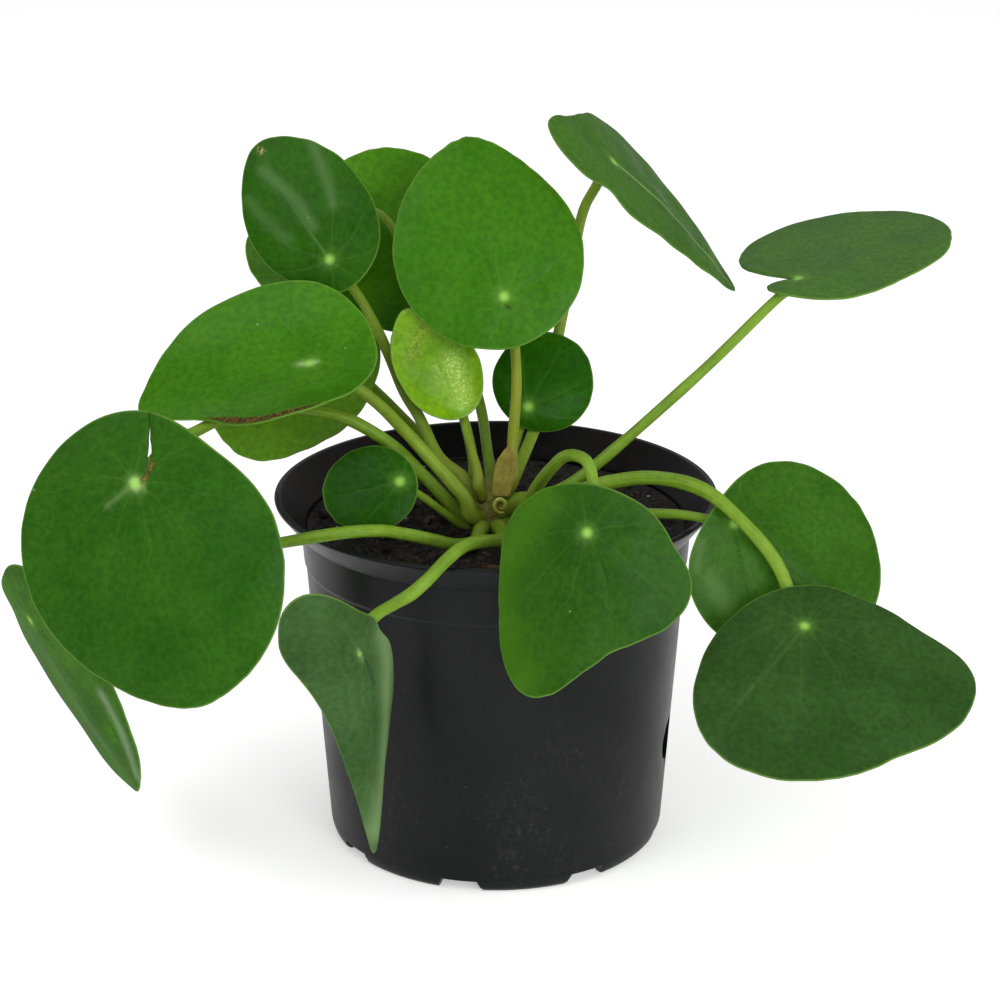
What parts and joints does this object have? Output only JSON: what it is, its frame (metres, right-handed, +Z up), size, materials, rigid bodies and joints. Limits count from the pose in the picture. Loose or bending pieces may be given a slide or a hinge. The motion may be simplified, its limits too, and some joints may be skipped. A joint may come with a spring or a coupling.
{
  "type": "potted chinese money plant",
  "caption": "Young Chinese money plant with round coin leaves on arching stalks, growing in a tapered black nursery pot filled with potting mix.",
  "frame": {"origin": "middle of the flat pad under the pot, in the plane that it stands on", "axes": "+Z up along the pot's axis, -Y towards the front that the leaves face, +X to the right seen from the front"},
  "size_m": [0.2301, 0.14, 0.1814],
  "materials": {
    "pot_plastic": "satin",
    "potting_mix": "matte",
    "old_stem": "matte",
    "dry_scale": "matte",
    "bud_green": "satin",
    "stalk_green": "satin",
    "deep": "satin",
    "middle": "satin",
    "bright": "satin",
    "glossy": "gloss",
    "dusty": "satin",
    "blue": "satin",
    "young": "gloss"
  },
  "bodies": {
    "root": {"pot": "pot_plastic", "soil": "potting_mix", "main_stem": "old_stem", "stipule": "dry_scale", "bud": "bud_green", "leaf_01_stalk": "stalk_green", "leaf_01_blade": "deep", "leaf_02_stalk": "stalk_green", "leaf_02_blade": "deep", "leaf_03_stalk": "stalk_green", "leaf_03_blade": "bright", "leaf_04_stalk": "stalk_green", "leaf_04_blade": "middle", "leaf_05_stalk": "stalk_green", "leaf_05_blade": "glossy", "leaf_06_stalk": "stalk_green", "leaf_06_blade": "middle", "leaf_07_stalk": "stalk_green", "leaf_07_blade": "dusty", "leaf_08_stalk": "stalk_green", "leaf_08_blade": "middle", "leaf_09_stalk": "stalk_green", "leaf_09_blade": "middle", "leaf_10_stalk": "stalk_green", "leaf_10_blade": "young", "leaf_11_stalk": "stalk_green", "leaf_11_blade": "bright", "leaf_12_stalk": "stalk_green", "leaf_12_blade": "glossy", "leaf_13_stalk": "stalk_green", "leaf_13_blade": "bright", "leaf_14_stalk": "stalk_green", "leaf_14_blade": "middle", "leaf_15_stalk": "stalk_green", "leaf_15_blade": "deep", "leaf_16_stalk": "stalk_green", "leaf_16_blade": "dusty", "leaf_17_stalk": "stalk_green", "leaf_17_blade": "blue"}
  },
  "joints": []
}
